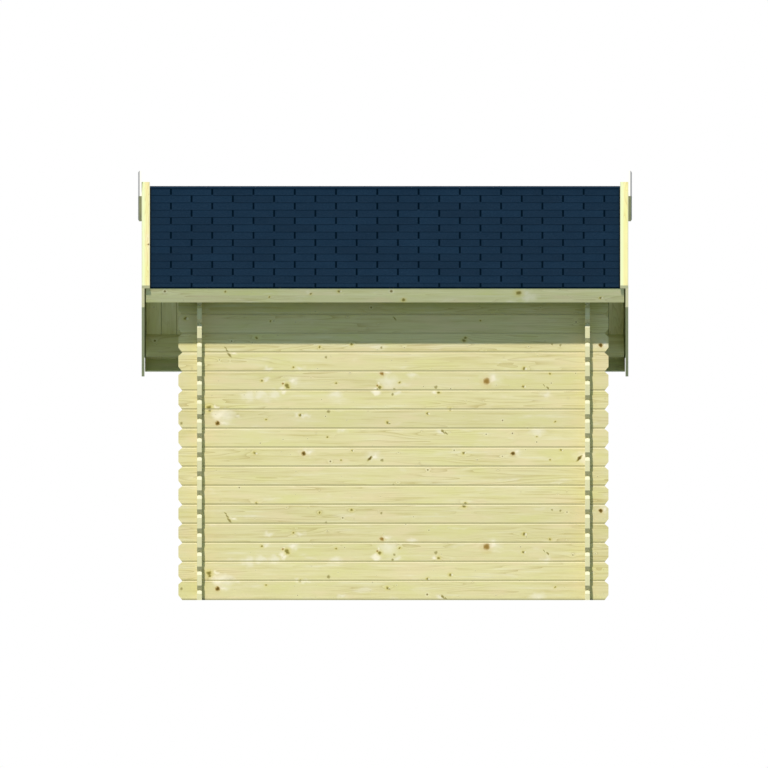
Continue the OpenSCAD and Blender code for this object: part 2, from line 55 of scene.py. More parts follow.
wall_low, wall_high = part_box("tall_side_wall")
front_low, front_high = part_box("front_base_log")
back_low, back_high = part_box("back_wall")
TALL_WALL_Y = (wall_low.y + wall_high.y) / 2
LOW_WALL_Y = -TALL_WALL_Y
FRONT_X = (front_low.x + front_high.x) / 2
BACK_X = (back_low.x + back_high.x) / 2

# The two roof decks differ only in length, so their boxes give the slope and the thickness
low_deck, low_deck_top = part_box("roof_deck_low_side")
tall_deck, tall_deck_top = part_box("roof_deck_tall_side")
LOW_SPAN = low_deck_top.y - low_deck.y
TALL_SPAN = tall_deck_top.y - tall_deck.y
TAN = (tall_deck.z - low_deck.z) / (LOW_SPAN - TALL_SPAN)
COS = math.cos(math.atan(TAN))
SIN = TAN * COS
RIDGE_Y = low_deck.y
RIDGE_Z = low_deck_top.z
ROOF_HALF = low_deck_top.x
FRONT_CAP_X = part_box("barge_cap_front_tall")[1].x
BACK_CAP_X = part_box("barge_cap_back_tall")[0].x
DECK_T = (RIDGE_Z - low_deck.z - LOW_SPAN * TAN) / COS


def deck_run(side_name):
    """Length of the roof boards of one side, down the slope from the ridge."""
    low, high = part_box("roof_deck_" + side_name)
    return (high.y - low.y) / COS


def on_slope(side, x, down, out):
    """A point by its distance down one roof side from the ridge, and out from the roof boards."""
    return (
        x,
        RIDGE_Y + side * (down * COS + out * SIN),
        RIDGE_Z - down * SIN + out * COS,
    )


def down_slope(side):
    """Unit vector down a roof side."""
    return Vector((0, side * COS, -SIN))


def out_of_slope(side):
    """Unit vector straight out of a roof side."""
    return Vector((0, side * SIN, COS))


# ---- Meshes ----


def make_mesh(name, points, faces):
    """A mesh object from points in the frame of the house."""
    mesh = bpy.data.meshes.new(name)
    mesh.from_pydata(points, [], faces)
    mesh.update()
    piece = bpy.data.objects.new(name, mesh)
    bpy.context.scene.collection.objects.link(piece)
    return piece


class Shapes:
    """Collects closed shapes into one mesh, with a material number for each face."""

    def __init__(self):
        self.points = []
        self.faces = []
        self.finishes = []

    def loft(self, start, end, finishes=None):
        """A closed bar between two rings of points; finishes are for its sides and then its two ends."""
        base = len(self.points)
        count = len(start)
        self.points += list(start) + list(end)
        for i in range(count):
            j = (i + 1) % count
            self.faces.append((base + i, base + j, base + count + j, base + count + i))
        self.faces.append(tuple(base + i for i in reversed(range(count))))
        self.faces.append(tuple(base + count + i for i in range(count)))
        self.finishes += finishes or [0] * (count + 2)

    def make(self, name, *materials):
        """The mesh object, with its materials and the face's number for each."""
        piece = make_mesh(name, self.points, self.faces)
        for material in materials:
            piece.data.materials.append(material)
        for face, finish in zip(piece.data.polygons, self.finishes):
            face.material_index = finish
        fix_normals(piece)
        return piece


def fix_normals(piece):
    """Points all faces of closed shapes outwards."""
    mesh = bmesh.new()
    mesh.from_mesh(piece.data)
    bmesh.ops.recalc_face_normals(mesh, faces=mesh.faces)
    mesh.to_mesh(piece.data)
    mesh.free()


# ---- Materials ----


class Graph:
    """Adds nodes to one new material and wires them. A value is a socket, or a number or colour."""

    def __init__(self, name):
        self.material = bpy.data.materials.new(name)
        self.material.use_nodes = True
        self.tree = self.material.node_tree
        self.tree.nodes.clear()
        self.shader = self.tree.nodes.new("ShaderNodeBsdfPrincipled")
        output = self.tree.nodes.new("ShaderNodeOutputMaterial")
        self.tree.links.new(self.shader.outputs[0], output.inputs[0])

    def feed(self, socket, value):
        if isinstance(value, bpy.types.NodeSocket):
            self.tree.links.new(value, socket)
        elif value is not None:
            socket.default_value = value

    def add(self, kind, *values, **settings):
        """A node with its settings and its inputs in order; None leaves an input alone."""
        node = self.tree.nodes.new("ShaderNode" + kind)
        for key, value in settings.items():
            setattr(node, key, value)
        for socket, value in zip(node.inputs, values):
            self.feed(socket, value)
        return node

    def math(self, operation, *values):
        return self.add("Math", *values, operation=operation).outputs[0]

    def plus(self, total, *more):
        for value in more:
            total = self.math("ADD", total, value)
        return total

    def times(self, product, *more):
        for value in more:
            product = self.math("MULTIPLY", product, value)
        return product

    def between(self, chance, low, high):
        """A number that is low where the chance is 0 and high where it is 1."""
        return self.math("MULTIPLY_ADD", chance, high - low, low)

    def vector(self, operation, *values):
        """A vector operation; gives a number where the operation does."""
        node = self.add("VectorMath", *values, operation=operation)
        return node.outputs["Value" if operation in ("DOT_PRODUCT", "LENGTH", "DISTANCE") else "Vector"]

    def combine(self, x, y, z):
        return self.add("CombineXYZ", x, y, z).outputs[0]

    def parts(self, vector):
        """The three numbers of a vector or a colour."""
        return self.add("SeparateXYZ", vector).outputs

    def place(self):
        """Where a point lies, in the frame of the house."""
        return self.add("TexCoord").outputs["Object"]

    def geometry(self, what):
        return self.add("NewGeometry").outputs[what]

    def ease(self, value, low, high, to_low=0.0, to_high=1.0):
        """Smoothly maps low..high to to_low..to_high."""
        node = self.add("MapRange", value, low, high, to_low, to_high, interpolation_type="SMOOTHSTEP")
        return node.outputs[0]

    def texture(self, kind, place, scale, **settings):
        """A noise or a pattern of cells over places."""
        node = self.add("Tex" + kind, **settings)
        self.feed(node.inputs["Vector"], place)
        node.inputs["Scale"].default_value = scale
        return node

    def noise_node(self, place, scale, detail, roughness):
        node = self.texture("Noise", place, scale, noise_dimensions="3D")
        node.inputs["Detail"].default_value = detail
        node.inputs["Roughness"].default_value = roughness
        return node

    def noise(self, place, scale, detail=2.0, roughness=0.5):
        return self.noise_node(place, scale, detail, roughness).outputs[0]

    def wander(self, place, scale, amount):
        """A place moved about at random along the grain and across it."""
        push = self.noise_node(place, scale, 1.5, 0.5).outputs["Color"]
        push = self.vector("SUBTRACT", push, (0.5, 0.5, 0.5))
        return self.vector("MULTIPLY_ADD", push, (amount, amount, 0), place)

    def mix(self, factor, a, b, blend="MIX"):
        """One colour at a factor of 0 and the other at 1."""
        node = self.add("Mix", data_type="RGBA", blend_type=blend)
        self.feed(node.inputs[0], factor)
        self.feed(node.inputs[6], a if isinstance(a, bpy.types.NodeSocket) else (*a, 1))
        self.feed(node.inputs[7], b if isinstance(b, bpy.types.NodeSocket) else (*b, 1))
        return node.outputs[2]

    def dim(self, color, level):
        """A colour times a level of grey."""
        return self.mix(1.0, color, self.combine(level, level, level), "MULTIPLY")

    def bump(self, height, distance, strength):
        node = self.add("Bump")
        node.inputs["Strength"].default_value = strength
        node.inputs["Distance"].default_value = distance
        self.feed(node.inputs["Height"], height)
        return node.outputs[0]

    def surface(self, color, roughness, normal, gloss=0.25):
        """The finished material."""
        self.feed(self.shader.inputs["Base Color"], color)
        self.feed(self.shader.inputs["Roughness"], roughness)
        self.feed(self.shader.inputs["Normal"], normal)
        self.shader.inputs["Specular IOR Level"].default_value = gloss
        return self.material


# All colours are linear. Tones of planed pine: quiet wood, darker streaks, pale streaks, late wood,
# yellow-green patches and warm patches
LOG_TONES = (
    (0.748, 0.710, 0.380), (0.650, 0.600, 0.280), (0.815, 0.795, 0.525), (0.460, 0.380, 0.135),
    (0.720, 0.705, 0.325), (0.785, 0.705, 0.410),
)
TRIM_TONES = (
    (0.700, 0.705, 0.385), (0.620, 0.615, 0.300), (0.760, 0.775, 0.480), (0.480, 0.430, 0.190),
    (0.665, 0.690, 0.310), (0.740, 0.690, 0.410),
)
CAP_TONES = (
    (0.810, 0.790, 0.378), (0.765, 0.730, 0.325), (0.840, 0.840, 0.465), (0.590, 0.450, 0.160),
    (0.785, 0.795, 0.335), (0.830, 0.750, 0.390),
)

# Knots, the wood round them, and pale and bright tones that also paint light
BROWN_HEART = (0.100, 0.060, 0.004)
BROWN_RIM = (0.370, 0.250, 0.045)
BROWN_HALO = (0.680, 0.540, 0.200)
WARM_HEART = (0.300, 0.190, 0.038)
WARM_RIM = (0.420, 0.290, 0.085)
OLIVE_HEART = (0.165, 0.138, 0.010)
OLIVE_RIM = (0.385, 0.335, 0.065)
OLIVE_HALO = (0.690, 0.620, 0.210)
FAINT_HEART = (0.260, 0.225, 0.060)
FAINT_RIM = (0.430, 0.390, 0.140)
PALE_TONE = (0.880, 0.850, 0.660)
BRIGHT_TONE = (0.930, 0.880, 0.660)

# Ends and edges of logs, with painted shade on what looks down and painted light on what looks up, and the
# painted shade under the eaves
END_WOOD = (0.765, 0.770, 0.475)
SAWN_UNDERSIDE_SHADE = (0.600, 0.555, 0.300)
SAWN_TOP_LIGHT = (0.775, 0.790, 0.555)
BEVEL_SHADE = (0.560, 0.520, 0.260)
# Painted shade under the eaves
EAVE_SHADE_TINT = (0.72, 0.74, 0.58)

# Ornaments, barge boards and their caps: painted light where ornaments look up or down and where barge
# boards look down, and the caps' tints
ORNAMENT_UNDER_LIGHT = (0.930, 0.780, 0.440)
ORNAMENT_TOP_LIGHT = (0.830, 0.840, 0.760)
ORNAMENT_GREY = (0.570, 0.540, 0.440)
ORNAMENT_TOP_GREY = (0.365, 0.372, 0.372)
BARGE_UNDER_LIGHT = (0.930, 0.870, 0.520)
CAP_GREEN = (0.740, 0.850, 0.500)
CAP_GREY = (0.560, 0.580, 0.400)

# Felt, which also paints the shade in the shingles' slits and gaps, steel and glass
SLATE_BLUE = (0.0018, 0.0140, 0.0325)
SLATE_SPECK = (0.0085, 0.0275, 0.0540)
FELT_DARK = (0.0003, 0.0040, 0.0090)
FELT_LIGHT = (0.0008, 0.0065, 0.0145)
STEEL_DARK = (0.56, 0.56, 0.57)
STEEL_LIGHT = (0.66, 0.66, 0.67)
CLEAR_GLASS = (0.93, 0.97, 0.96)
DUSTY_GLASS = (0.84, 0.88, 0.86)

# Noise in the wood: drawn out along the grain by a factor, and its scale, detail and roughness
BEND_NOISE = (0.9, 1.0, 1.0, 0.5)
WOBBLE_NOISE = (0.05, 34.0, 3.0, 0.5)
FIGURE_NOISE = (0.055, 15.0, 1.5, 0.45)
FIGURED_NOISE = (0.16, 8.0, 1.0, 0.5)
STREAK_NOISE = (0.05, 46.0, 3.0, 0.6)
PATCH_NOISE = (0.30, 9.0, 3.0, 0.55)
CLOUD_NOISE = (0.30, 17.0, 3.0, 0.6)
FIBRE_NOISE = (0.04, 900.0, 2.0, 0.6)

# Growth rings to the metre, and how many rings they stray by noise and by the swirl round a knot
RINGS_PER_M = 250.0
WOBBLE_RINGS = 2.4
SWIRL_RINGS = 2.6
SWIRL_FADE = -0.42

# How far the heart of the tree lies from a log's middle, across it and in depth, and how far it bends
HEART_ACROSS = (-0.13, 0.03)
HEART_DEPTH = (0.022, 0.092)
HEART_BEND = 0.10

# Levels of the figure's noise at which it has a line, and how much the swirl adds to that noise
FIGURE_LEVELS = 13.0
FIGURE_SWIRL = 0.12

# The darkest and lightest log of a wall, and tab of a roof side
LOG_LEVELS = (0.965, 1.035)
TAB_LEVELS = (0.915, 1.075)

# In metres: a pitch wider than any piece, and how far apart the stretches of wood of two logs may lie
ONE_STRETCH = 10.0
STRETCHES_APART = 23.0

# In metres: the cells that scattered knots lie in, and the radii of those knots
KNOT_CELL = 0.15
SMALLEST_KNOT = 0.0016
LARGEST_KNOT = 0.0096
LARGEST_TALL_WALL_KNOT = 0.0066

# How listed knots and light spots stray from round, as the scale and the amount
RAGGED = (60.0, 0.014)
CLOUDY = (26.0, 0.055)

# Leaning knots: how much narrower they are along the grain, and how far they lean along it
RISING = (1.5, 0.75)
FALLING = (1.7, -0.75)

# The distance in radii where a piece has no spots of a kind
NOWHERE_NEAR = 99.0

# In metres: the grey band above an ornament's chamfer, and how softly it ends
GREY_BAND = 0.010
GREY_BAND_SOFT = 0.0015

# In metres: how far down the painted shade reaches on a top log, and the stretches of wood of the door's
# members
TOP_LOG_SHADE_REACH = 0.030
DOOR_UPRIGHT_PITCH = 0.3
DOOR_LEVEL_PITCH = 0.5

# Chips to the metre in shingles, the scale of brushed steel along x, y and z, and the glass
CHIPS_PER_M = 620.0
BRUSHED = (900.0, 900.0, 30.0)
GLASS_IOR = 1.45


class Grain:
    """Where a point lies in its log: along the grain, across it in all, across it from the log's
    middle (inside) and in depth. A log is as wide as the pitch, and has its own random numbers. The
    values end_grain, looks_down and looks_up are 1 where the surface faces that way, or else 0."""

    def __init__(self, graph, along, across, origin, pitch, seed):
        self.graph = graph
        along = Vector(along)
        across = Vector(across)
        place = graph.vector("SUBTRACT", graph.place(), tuple(origin))
        self.along = graph.vector("DOT_PRODUCT", place, tuple(along))
        self.across = graph.vector("DOT_PRODUCT", place, tuple(across))
        self.depth = graph.vector("DOT_PRODUCT", place, tuple(along.cross(across)))
        index = graph.math("FLOOR", graph.math("DIVIDE", self.across, pitch))
        middle = graph.times(graph.plus(index, 0.5), pitch)
        self.inside = graph.math("SUBTRACT", self.across, middle)
        dice = graph.add("TexWhiteNoise", noise_dimensions="1D")
        graph.feed(dice.inputs["W"], graph.plus(index, seed + 0.5))
        self.chance = graph.parts(dice.outputs["Color"])
        self.shift = graph.vector("SCALE", dice.outputs["Color"], None, None, STRETCHES_APART)
        normal = graph.geometry("Normal")
        facing = graph.math("ABSOLUTE", graph.vector("DOT_PRODUCT", normal, tuple(along)))
        self.end_grain = graph.ease(facing, 0.25, 0.6)
        upwards = graph.parts(normal)[2]
        self.looks_down = graph.ease(upwards, -0.15, -0.35)
        self.looks_up = graph.ease(upwards, 0.15, 0.35)

    def noise(self, drawn, scale, detail, roughness):
        """Noise from the log's own stretch of wood, drawn out along the grain by a factor below 1."""
        g = self.graph
        place = g.combine(g.times(self.along, drawn), self.across, self.depth)
        return g.noise(g.vector("ADD", place, self.shift), scale, detail, roughness)


def beside(spots, along_by, across_by, larger):
    """Spots beside other spots, off by so many of their radii, and larger by a factor."""
    return [(along + along_by * r, across + across_by * r, larger * r) for along, across, r in spots]


class Marks:
    """Knots and light spots at listed places, each as (along, across, radius) in metres. Brown, warm,
    olive and faint knots are round. Eyes are olive knots with a pale spot over one side, partly pale wood
    and partly a painted highlight. Rising and falling knots lean along the grain. Light spots are bright
    or pale, and each brown, warm or rising knot has one of both beside it, on the same side of every knot:
    pale wood with a painted highlight. With again=(level, drop), all marks come again below the level,
    lower by the drop."""

    def __init__(self, brown=(), warm=(), olive=(), eyes=(), rising=(), falling=(), faint=(), bright=(),
                 pale=(), again=None):
        self.brown = brown
        self.warm = warm
        self.olive = (*olive, *eyes)
        self.eyes = beside(eyes, 1.25, -0.2, 0.95)
        self.rising = rising
        self.falling = falling
        self.faint = faint
        # Beside each large knot, on the same side: pale wood with a painted highlight
        large = (*brown, *warm, *rising)
        self.bright = (*beside(large, 1.7, 0.6, 0.7), *bright)
        self.pale = (*beside(large, 1.3, 0.7, 1.6), *pale)
        self.again = again

    def place(self, wood):
        """Places along and across the grain, with the lower ones moved up to where the marks are."""
        if not self.again:
            return wood.graph.combine(wood.along, wood.across, wood.depth)
        level, drop = self.again
        is_lower = wood.graph.math("LESS_THAN", wood.across, level)
        across = wood.graph.math("MULTIPLY_ADD", is_lower, drop, wood.across)
        return wood.graph.combine(wood.along, across, wood.depth)


def nearest(graph, place, spots, narrow=1.0, lean=0.0):
    """Distance to the nearest of the spots, in radii. They are narrowed along the grain by a factor,
    and lean along it by so much for each step across it."""
    if not spots:
        return NOWHERE_NEAR
    here_along, here_across = graph.parts(place)[:2]
    if lean:
        here_along = graph.math("SUBTRACT", here_along, graph.times(here_across, lean))
    here = graph.combine(graph.times(here_along, narrow), here_across, 0.0)
    result = None
    for along, across, radius in spots:
        spot = ((along - lean * across) * narrow, across, 0.0)
        away = graph.math("DIVIDE", graph.vector("DISTANCE", here, spot), radius)
        result = away if result is None else graph.math("MINIMUM", result, away)
    return result


def scattered_knots(graph, wood, largest):
    """Distance to the nearest of a thin scatter of knots, in radii, and a random number for each. Most
    are about the smallest size, and few come near the largest."""
    shift = graph.parts(wood.shift)
    along = graph.math("DIVIDE", graph.plus(wood.along, shift[0]), KNOT_CELL)
    across = graph.math("DIVIDE", graph.plus(wood.across, shift[1]), KNOT_CELL)
    place = graph.combine(along, across, 0.0)
    scatter = graph.texture("Voronoi", place, 1.0, voronoi_dimensions="2D", feature="F1")
    chance = graph.parts(scatter.outputs["Color"])
    radius = graph.between(graph.math("POWER", chance[0], 6.0), SMALLEST_KNOT, largest)
    away = graph.times(scatter.outputs["Distance"], KNOT_CELL)
    return graph.math("DIVIDE", away, radius), chance[1]


def lay_spot(graph, color, distance, inner, outer, strength, tone):
    """A tone over a colour, at its strength up to an inner distance and gone at an outer one."""
    return graph.mix(graph.ease(distance, inner, outer, strength, 0.0), color, tone)


def lay_knot(graph, color, distance, heart, rim, strength=0.95):
    """A knot with its darker heart and its rim over a colour."""
    knot = graph.mix(graph.ease(distance, 0.30, 0.95), heart, rim)
    return lay_spot(graph, color, distance, 0.65, 1.30, strength, knot)


class Knots:
    """The scattered knots of a piece (dot) and those at listed places, each kind as the distance to its
    nearest one."""

    def __init__(self, graph, wood, marks, largest):
        self.graph = graph
        self.dot, self.mood = scattered_knots(graph, wood, largest)
        self.distance = self.dot
        self.marks = marks
        if marks:
            place = marks.place(wood)
            ragged = graph.wander(place, *RAGGED)
            self.brown = nearest(graph, ragged, marks.brown)
            self.warm = nearest(graph, ragged, marks.warm)
            self.olive = nearest(graph, ragged, marks.olive, narrow=0.85)
            self.eyes = nearest(graph, ragged, marks.eyes)
            self.rising = nearest(graph, ragged, marks.rising, *RISING)
            self.falling = nearest(graph, ragged, marks.falling, *FALLING)
            self.faint = nearest(graph, ragged, marks.faint)
            cloudy = graph.wander(place, *CLOUDY)
            self.pale = nearest(graph, cloudy, marks.pale, narrow=0.6)
            self.bright = nearest(graph, cloudy, marks.bright, narrow=0.7)
            for marked in (self.brown, self.warm, self.olive):
                self.distance = graph.math("MINIMUM", marked, self.distance)

    def lay_over(self, color):
        """A colour with the light spots, partly a painted highlight, and the halos round the knots, and
        then the knots on it.
        """
        g = self.graph
        if self.marks:
            color = lay_spot(g, color, self.pale, 0.0, 1.7, 0.68, PALE_TONE)
            color = lay_spot(g, color, self.bright, 0.2, 1.6, 0.95, BRIGHT_TONE)
            color = lay_spot(g, color, self.brown, 1.0, 2.8, 0.25, BROWN_HALO)
            color = lay_spot(g, color, self.warm, 1.0, 2.8, 0.38, BROWN_HALO)
            color = lay_spot(g, color, self.olive, 1.0, 2.8, 0.50, OLIVE_HALO)
        color = lay_spot(g, color, self.dot, 1.0, 2.6, 0.35, PALE_TONE)
        heart = g.mix(g.ease(self.mood, 0.55, 0.75), OLIVE_HEART, BROWN_HEART)
        color = lay_knot(g, color, self.dot, heart, OLIVE_RIM, strength=0.85)
        if self.marks:
            color = lay_knot(g, color, self.olive, OLIVE_HEART, OLIVE_RIM, strength=0.88)
            color = lay_spot(g, color, self.eyes, 0.5, 1.15, 0.70, PALE_TONE)
            color = lay_knot(g, color, self.rising, BROWN_HEART, OLIVE_RIM)
            color = lay_knot(g, color, self.falling, FAINT_HEART, FAINT_RIM)
            color = lay_knot(g, color, self.faint, FAINT_HEART, FAINT_RIM, strength=0.80)
            color = lay_knot(g, color, self.warm, WARM_HEART, WARM_RIM, strength=1.0)
            color = lay_knot(g, color, self.brown, BROWN_HEART, BROWN_RIM, strength=1.0)
        return color


def ring_lines(g, wood, swirl):
    """Fine growth rings round a heart that wanders beside the log."""
    bend = g.times(wood.noise(*BEND_NOISE), HEART_BEND)
    heart_across = g.plus(g.between(wood.chance[0], *HEART_ACROSS), bend)
    heart_depth = g.between(wood.chance[1], *HEART_DEPTH)
    aside = g.math("SUBTRACT", wood.inside, heart_across)
    radius = g.vector("LENGTH", g.combine(aside, g.plus(wood.depth, heart_depth), 0.0))
    wobble = g.times(wood.noise(*WOBBLE_NOISE), WOBBLE_RINGS)
    rings = g.plus(g.times(radius, RINGS_PER_M), wobble, g.times(swirl, SWIRL_RINGS))
    return g.math("POWER", g.math("FRACT", rings), 3.0)


def figure_lines(g, wood, swirl):
    """Long dark lines and pointed loops where the saw ran along the rings, in some places only."""
    field = g.plus(wood.noise(*FIGURE_NOISE), g.times(swirl, FIGURE_SWIRL))
    lines = g.math("POWER", g.math("FRACT", g.times(field, FIGURE_LEVELS)), 4.0)
    where = wood.noise(*FIGURED_NOISE)
    return g.times(lines, g.ease(where, 0.40, 0.62, 0.12, 1.0))


def planed_wood(g, wood, tones, knot):
    """Colour of the wood between its knots, and its small heights. Rings and figure bend round a knot,
    which is the distance to the nearest."""
    quiet, dark, pale, late_wood, green, warm = tones
    swirl = g.math("EXPONENT", g.times(knot, SWIRL_FADE))
    rings = ring_lines(g, wood, swirl)
    figure = figure_lines(g, wood, swirl)
    streak = wood.noise(*STREAK_NOISE)
    patch = wood.noise(*PATCH_NOISE)
    cloud = wood.noise(*CLOUD_NOISE)
    fibre = wood.noise(*FIBRE_NOISE)
    color = g.mix(g.ease(streak, 0.28, 0.50), dark, quiet)
    color = g.mix(g.ease(streak, 0.52, 0.76, 0.0, 0.9), color, pale)
    color = g.mix(g.ease(patch, 0.50, 0.70, 0.0, 0.85), color, green)
    color = g.mix(g.ease(patch, 0.50, 0.32, 0.0, 0.85), color, warm)
    color = g.mix(g.ease(cloud, 0.58, 0.78, 0.0, 0.50), color, PALE_TONE)
    color = g.mix(g.times(rings, 0.12), color, late_wood)
    color = g.mix(g.times(figure, 0.60), color, late_wood)
    color = g.mix(g.ease(fibre, 0.3, 0.8, 0.0, 0.06), color, late_wood)
    color = g.mix(g.times(wood.end_grain, 0.75), color, END_WOOD)
    color = g.mix(g.times(wood.end_grain, rings, 0.30), color, late_wood)
    color = g.dim(color, g.between(wood.chance[2], *LOG_LEVELS))
    return color, g.plus(g.times(rings, 0.35), g.times(fibre, 0.5))


def edges_of_logs(g, wood, color):
    """Painted shade on the bevels and sawn ends that look down, and painted light on the chamfers and ends
    that look up.
    """
    side = g.math("SUBTRACT", 1.0, wood.end_grain)
    color = g.mix(g.times(wood.end_grain, wood.looks_down), color, SAWN_UNDERSIDE_SHADE)
    color = g.mix(g.times(wood.end_grain, wood.looks_up), color, SAWN_TOP_LIGHT)
    color = g.mix(g.times(side, wood.looks_down, 0.75), color, BEVEL_SHADE)
    return g.mix(g.times(side, wood.looks_up, 0.45), color, PALE_TONE)


def pine(name, along, across, origin, seed, pitch=ONE_STRETCH, tones=LOG_TONES, marks=None,
         largest=LARGEST_KNOT, over=None):
    """Planed pine with its knots. What goes over them is a function of the graph, the grain and the
    colour so far."""
    g = Graph(name)
    wood = Grain(g, along, across, origin, pitch, seed)
    knots = Knots(g, wood, marks, largest)
    color, height = planed_wood(g, wood, tones, knots.distance)
    color = knots.lay_over(color)
    if over:
        color = over(g, wood, color)
    height = g.plus(height, g.ease(knots.distance, 0.8, 1.3, 0.8, 0.0))
    rough = g.ease(knots.distance, 0.8, 1.2, 0.45, 0.72)
    return g.surface(color, rough, g.bump(height, distance=0.0004, strength=0.6))


def slope_pine(name, side, across, **settings):
    """Pine with its grain down a roof side."""
    return pine(name, down_slope(side), across, (0, RIDGE_Y, RIDGE_Z), **settings)


def painted_eave_shade(low, high, least, most):
    """Painted shade on logs under the eave, from one height upwards: the least there, and the most from
    the second height."""

    def over(g, wood, color):
        height = g.parts(g.place())[2]
        amount = g.times(g.math("GREATER_THAN", height, low), g.ease(height, low, high, least, most))
        # Painted shade: the logs darken towards the roof boards, over the painted light and shade of their
        # edges
        shade_tint = g.mix(amount, (1, 1, 1), EAVE_SHADE_TINT)
        return g.mix(1.0, edges_of_logs(g, wood, color), shade_tint, "MULTIPLY")

    return over


def ornament_light_and_grey(outer_x):
    """Painted light on an ornament: whiter where it looks up, and warmer and lighter where it looks down.
    Its chamfer is grey, and so is a band along it above, measured from the ornament's outer face; the grey
    is darker where it looks up."""

    def over(g, wood, color):
        inwards = g.math("ABSOLUTE", g.math("SUBTRACT", g.parts(g.place())[0], outer_x))
        outwards = g.math("ABSOLUTE", g.parts(g.geometry("Normal"))[0])
        chamfer = g.times(g.ease(outwards, 0.3, 0.6), g.ease(outwards, 0.95, 0.8))
        in_band = g.ease(inwards, GREY_BAND + GREY_BAND_SOFT, GREY_BAND - GREY_BAND_SOFT)
        # Painted light on the faces that look down and on those that look up
        color = g.mix(g.times(wood.looks_down, 0.8), color, ORNAMENT_UNDER_LIGHT)
        color = g.mix(wood.looks_up, color, ORNAMENT_TOP_LIGHT)
        grey = g.mix(wood.looks_up, ORNAMENT_GREY, ORNAMENT_TOP_GREY)
        return g.mix(g.math("MAXIMUM", chamfer, g.times(in_band, wood.looks_up)), color, grey)

    return over


def lit_undersides(g, wood, color):
    """Painted light on the edges and faces that look down: they are paler."""
    return g.mix(wood.looks_down, color, BARGE_UNDER_LIGHT)


def rim_tints(low, high):
    """What turns a board that is level across greener towards the front and greyer along its rims, where
    it looks up.
    """
    middle = (low.x + high.x) / 2
    half = (high.x - low.x) / 2

    def over(g, wood, color):
        off = g.math("DIVIDE", g.math("SUBTRACT", g.parts(g.place())[0], middle), half)
        green = g.ease(off, 0.15, -0.60, 0.0, 0.8)
        grey = g.ease(g.math("ABSOLUTE", off), 0.66, 1.0, 0.0, 0.85)
        color = g.mix(g.times(green, wood.looks_up), color, CAP_GREEN)
        return g.mix(g.times(grey, wood.looks_up), color, CAP_GREY)

    return over


def bitumen(name):
    """Mineral-faced felt: fine chips in two tones over coarser specks and slow patches, a tone of its
    own for each tab, and a rough surface."""
    g = Graph(name)
    place = g.place()
    chips = g.texture("Voronoi", place, CHIPS_PER_M, voronoi_dimensions="3D", feature="F1")
    chip = g.parts(chips.outputs["Color"])
    specks = g.noise(place, scale=95.0, detail=2.0, roughness=0.7)
    slow = g.noise(place, scale=4.0, detail=3.0, roughness=0.6)
    color = g.mix(g.math("POWER", chip[0], 2.2), SLATE_BLUE, SLATE_SPECK)
    color = g.mix(g.ease(specks, 0.46, 0.70, 0.0, 0.75), color, SLATE_SPECK)
    color = g.mix(g.ease(slow, 0.35, 0.7, 0.0, 0.25), color, tuple(0.75 * c for c in SLATE_BLUE))
    color = g.dim(color, g.between(g.geometry("Random Per Island"), *TAB_LEVELS))
    relief = g.bump(g.math("SUBTRACT", 1.0, chips.outputs["Distance"]), distance=0.0009, strength=0.6)
    return g.surface(color, g.ease(chip[1], 0.0, 1.0, 0.8, 0.95), relief, gloss=0.06)


def dark_felt_and_shade(name):
    """Bare bitumen at the cut edges of the shingles, and painted shade in the slits between them and the
    gaps beside them.
    """
    g = Graph(name)
    grit = g.noise(g.place(), scale=400.0, detail=3.0, roughness=0.6)
    color = g.mix(g.ease(grit, 0.3, 0.7), FELT_DARK, FELT_LIGHT)
    relief = g.bump(grit, distance=0.0006, strength=0.5)
    return g.surface(color, g.ease(grit, 0.3, 0.7, 0.8, 0.95), relief, gloss=0.0)


def satin_steel(name):
    """Satin steel, brushed up and down, with faint smudges."""
    g = Graph(name)
    place = g.place()
    brushed = g.noise(g.vector("MULTIPLY", place, BRUSHED), scale=1.0)
    smudge = g.noise(place, scale=40.0)
    g.shader.inputs["Metallic"].default_value = 1.0
    color = g.mix(g.ease(smudge, 0.3, 0.7), STEEL_DARK, STEEL_LIGHT)
    rough = g.plus(g.ease(brushed, 0.2, 0.8, 0.26, 0.42), g.ease(smudge, 0.4, 0.8, 0.0, 0.08))
    return g.surface(color, rough, g.bump(brushed, distance=0.00005, strength=0.5))


def window_glass(name):
    """Clear float glass with a trace of dust and ripple."""
    g = Graph(name)
    place = g.place()
    dust = g.noise(place, scale=14.0, detail=4.0, roughness=0.65)
    ripple = g.bump(g.noise(place, scale=3.0, detail=1.0), distance=0.001, strength=0.05)
    g.shader.inputs["Transmission Weight"].default_value = 1.0
    g.shader.inputs["IOR"].default_value = GLASS_IOR
    color = g.mix(g.ease(dust, 0.45, 0.8), CLEAR_GLASS, DUSTY_GLASS)
    return g.surface(color, g.ease(dust, 0.45, 0.85, 0.0, 0.10), ripple)


def paint(material, *names):
    """Gives CAD nodes one material."""
    for name in names:
        mesh = NODES[name].data
        mesh.materials.clear()
        mesh.materials.append(material)
        for face in mesh.polygons:
            face.material_index = 0
